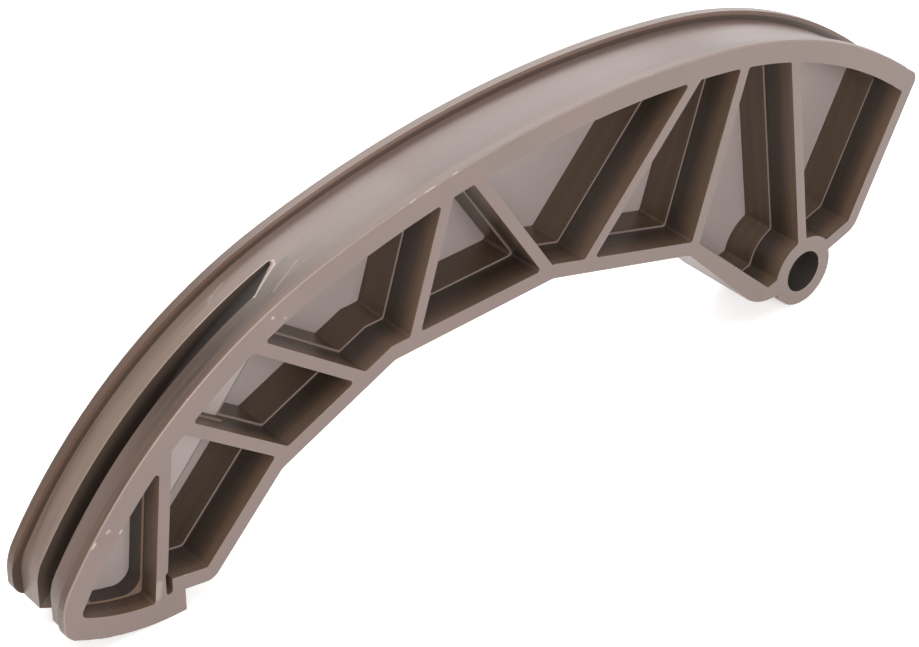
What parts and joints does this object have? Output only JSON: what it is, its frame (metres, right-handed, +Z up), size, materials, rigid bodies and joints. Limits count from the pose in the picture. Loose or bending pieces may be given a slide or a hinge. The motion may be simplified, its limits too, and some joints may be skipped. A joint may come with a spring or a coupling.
{
  "type": "timing chain tensioner rail",
  "caption": "Curved one-piece moulded chain tensioner rail with guide flanges, a ribbed open side, a pivot boss and a foot for the tensioner plunger.",
  "frame": {"origin": "centre of the pivot bore, in the plane of the open ribbed face", "axes": "+X along the rail from the foot towards the pivot end's tip, +Y from the open ribbed face to the flat back, +Z up with the running surface on top"},
  "size_m": [0.2036, 0.0175, 0.0679],
  "materials": {
    "nylon": "semi-gloss glass-filled nylon, brown"
  },
  "bodies": {
    "root": {"tensioner_rail": "nylon"}
  },
  "joints": []
}
